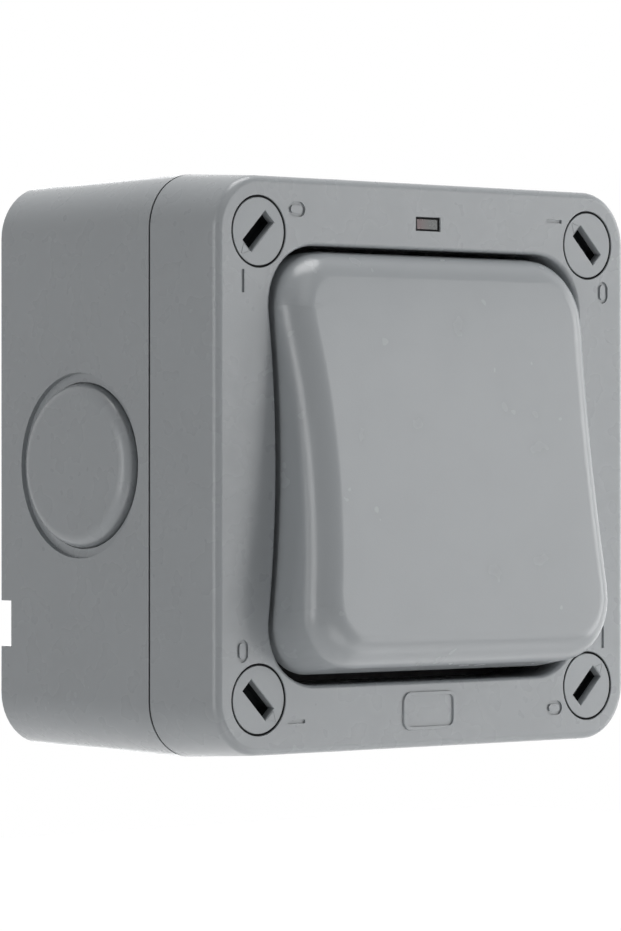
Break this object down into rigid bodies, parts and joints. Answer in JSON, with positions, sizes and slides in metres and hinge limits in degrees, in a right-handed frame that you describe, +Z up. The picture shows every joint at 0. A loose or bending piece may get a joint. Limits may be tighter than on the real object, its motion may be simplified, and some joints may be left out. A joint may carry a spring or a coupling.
{
  "type": "outdoor weatherproof switch",
  "caption": "Square surface-mounted weatherproof rocker switch with a sealed cover, slotted turn fasteners, conduit knockouts and a small indicator window.",
  "frame": {"origin": "centre of the wall face, on the plane of the wall", "axes": "+X to the right seen from the front, +Y into the wall, +Z up; the rocker faces -Y"},
  "size_m": [0.099, 0.0676, 0.099],
  "materials": {
    "enclosure_grey": "satin, finely textured moulding",
    "rocker_grey": "satin, finely textured moulding",
    "gasket_black": "matte",
    "lens_clear": "clear, polished",
    "lamp_glass": "clear glass with a reddish electrode glow",
    "lead_insulation": "satin sleeve",
    "resistor_body": "satin lacquer",
    "screw_steel": "zinc plated",
    "frame_grey": "plain moulding",
    "housing_white": "plain moulding",
    "dolly_plastic": "plain low-friction moulding",
    "spring_steel": "drawn wire",
    "contact_copper": "rolled copper strip with a silver tip",
    "terminal_brass": "machined"
  },
  "bodies": {
    "enclosure": {"back_box": "enclosure_grey", "cover_gasket": "gasket_black", "front_cover": "enclosure_grey", "indicator_lens": "lens_clear", "neon_lamp": "lamp_glass", "lamp_leads": "lead_insulation", "lamp_resistor": "resistor_body", "fastener_seals": "gasket_black", "sealing_membrane": "gasket_black", "mounting_frame": "frame_grey", "frame_screws": "screw_steel", "switch_housing": "housing_white", "mechanism_screws": "screw_steel", "line_load_terminal": "terminal_brass", "neutral_load_terminal": "terminal_brass", "line_supply_terminal": "terminal_brass", "neutral_supply_terminal": "terminal_brass", "terminal_screws": "screw_steel", "earth_terminal": "terminal_brass", "earth_terminal_screw": "screw_steel"},
    "rocker": {"rocker": "rocker_grey"},
    "dolly": {"dolly": "dolly_plastic", "contact_plungers": "terminal_brass", "plunger_springs": "spring_steel"},
    "contact_bridges": {"line_contact_bridge": "contact_copper", "neutral_contact_bridge": "contact_copper"},
    "fastener_top_left": {"cover_fastener_top_left": "enclosure_grey"},
    "fastener_top_right": {"cover_fastener_top_right": "enclosure_grey"},
    "fastener_bottom_right": {"cover_fastener_bottom_right": "enclosure_grey"},
    "fastener_bottom_left": {"cover_fastener_bottom_left": "enclosure_grey"}
  },
  "joints": [
    {"name": "rocker_throw", "type": "hinge", "parent": "enclosure", "child": "rocker", "pos_m": [0, -0.051, 0], "axis": [1, 0, 0], "range_deg": [0, 16]},
    {"name": "dolly_swing", "type": "hinge", "parent": "enclosure", "child": "dolly", "pos_m": [0, -0.0334, 0], "axis": [1, 0, 0], "range_deg": [-16, 0]},
    {"name": "bridge_tip", "type": "hinge", "parent": "enclosure", "child": "contact_bridges", "pos_m": [0, -0.0205, 0], "axis": [1, 0, 0], "range_deg": [0, 16]},
    {"name": "fastener_turn_top_left", "type": "hinge", "parent": "enclosure", "child": "fastener_top_left", "pos_m": [-0.0385, -0.05, 0.0385], "axis": [0, -1, 0], "range_deg": [0, 180]},
    {"name": "fastener_turn_top_right", "type": "hinge", "parent": "enclosure", "child": "fastener_top_right", "pos_m": [0.0385, -0.05, 0.0385], "axis": [0, -1, 0], "range_deg": [0, 180]},
    {"name": "fastener_turn_bottom_right", "type": "hinge", "parent": "enclosure", "child": "fastener_bottom_right", "pos_m": [0.0385, -0.05, -0.0385], "axis": [0, -1, 0], "range_deg": [0, 180]},
    {"name": "fastener_turn_bottom_left", "type": "hinge", "parent": "enclosure", "child": "fastener_bottom_left", "pos_m": [-0.0385, -0.05, -0.0385], "axis": [0, -1, 0], "range_deg": [0, 180]}
  ],
  "couplings": [
    {"joint": "dolly_swing", "follows": "rocker_throw", "ratio": -1},
    {"joint": "bridge_tip", "follows": "rocker_throw", "ratio": 1}
  ]
}
